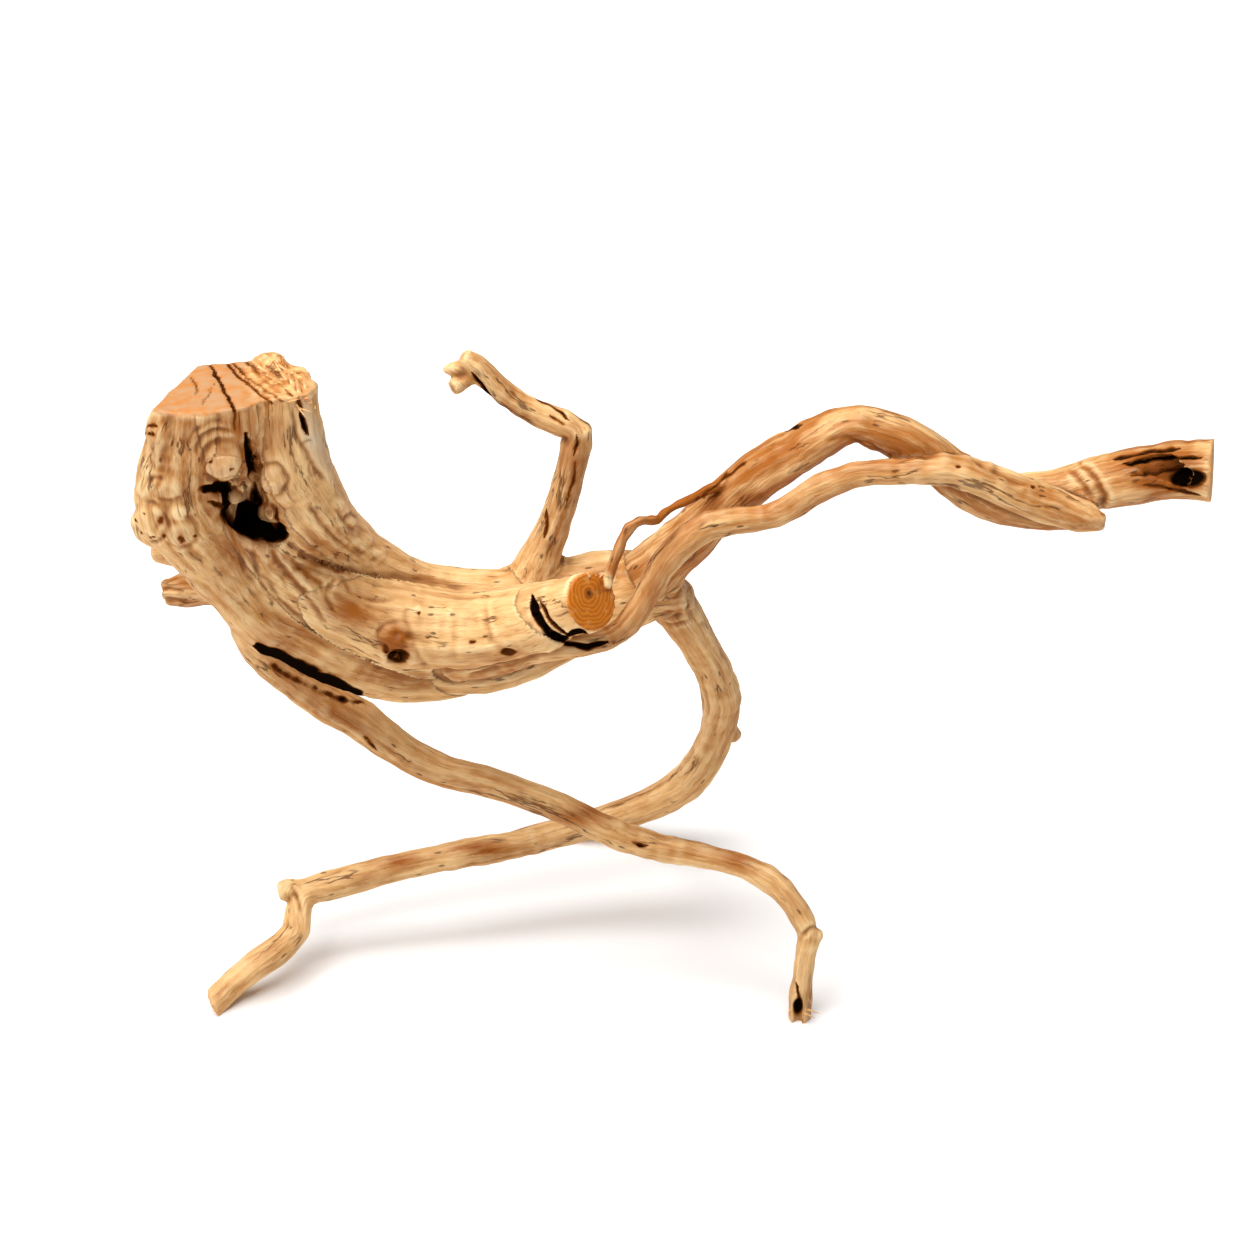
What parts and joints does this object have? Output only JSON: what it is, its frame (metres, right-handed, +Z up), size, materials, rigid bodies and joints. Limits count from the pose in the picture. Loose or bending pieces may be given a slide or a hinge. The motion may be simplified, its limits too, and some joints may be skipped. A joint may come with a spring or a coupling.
{
  "type": "spiderwood root",
  "caption": "Pale stripped spiderwood root on its own root legs: a thick sawn crown bends into a trunk with a sawn stub, a crooked twig and a fused branch reaching right.",
  "frame": {"origin": "on the ground, under the centre of the root's bounding box", "axes": "+X towards the sawn end of the long branch, +Y to the back, away from the sawn stub's side, +Z up"},
  "size_m": [0.35, 0.1166, 0.2694],
  "materials": {
    "wood": "bare, stripped of bark, matte with a faint polish on the ridges"
  },
  "bodies": {
    "root": {"spiderwood_root": "wood"}
  },
  "joints": []
}
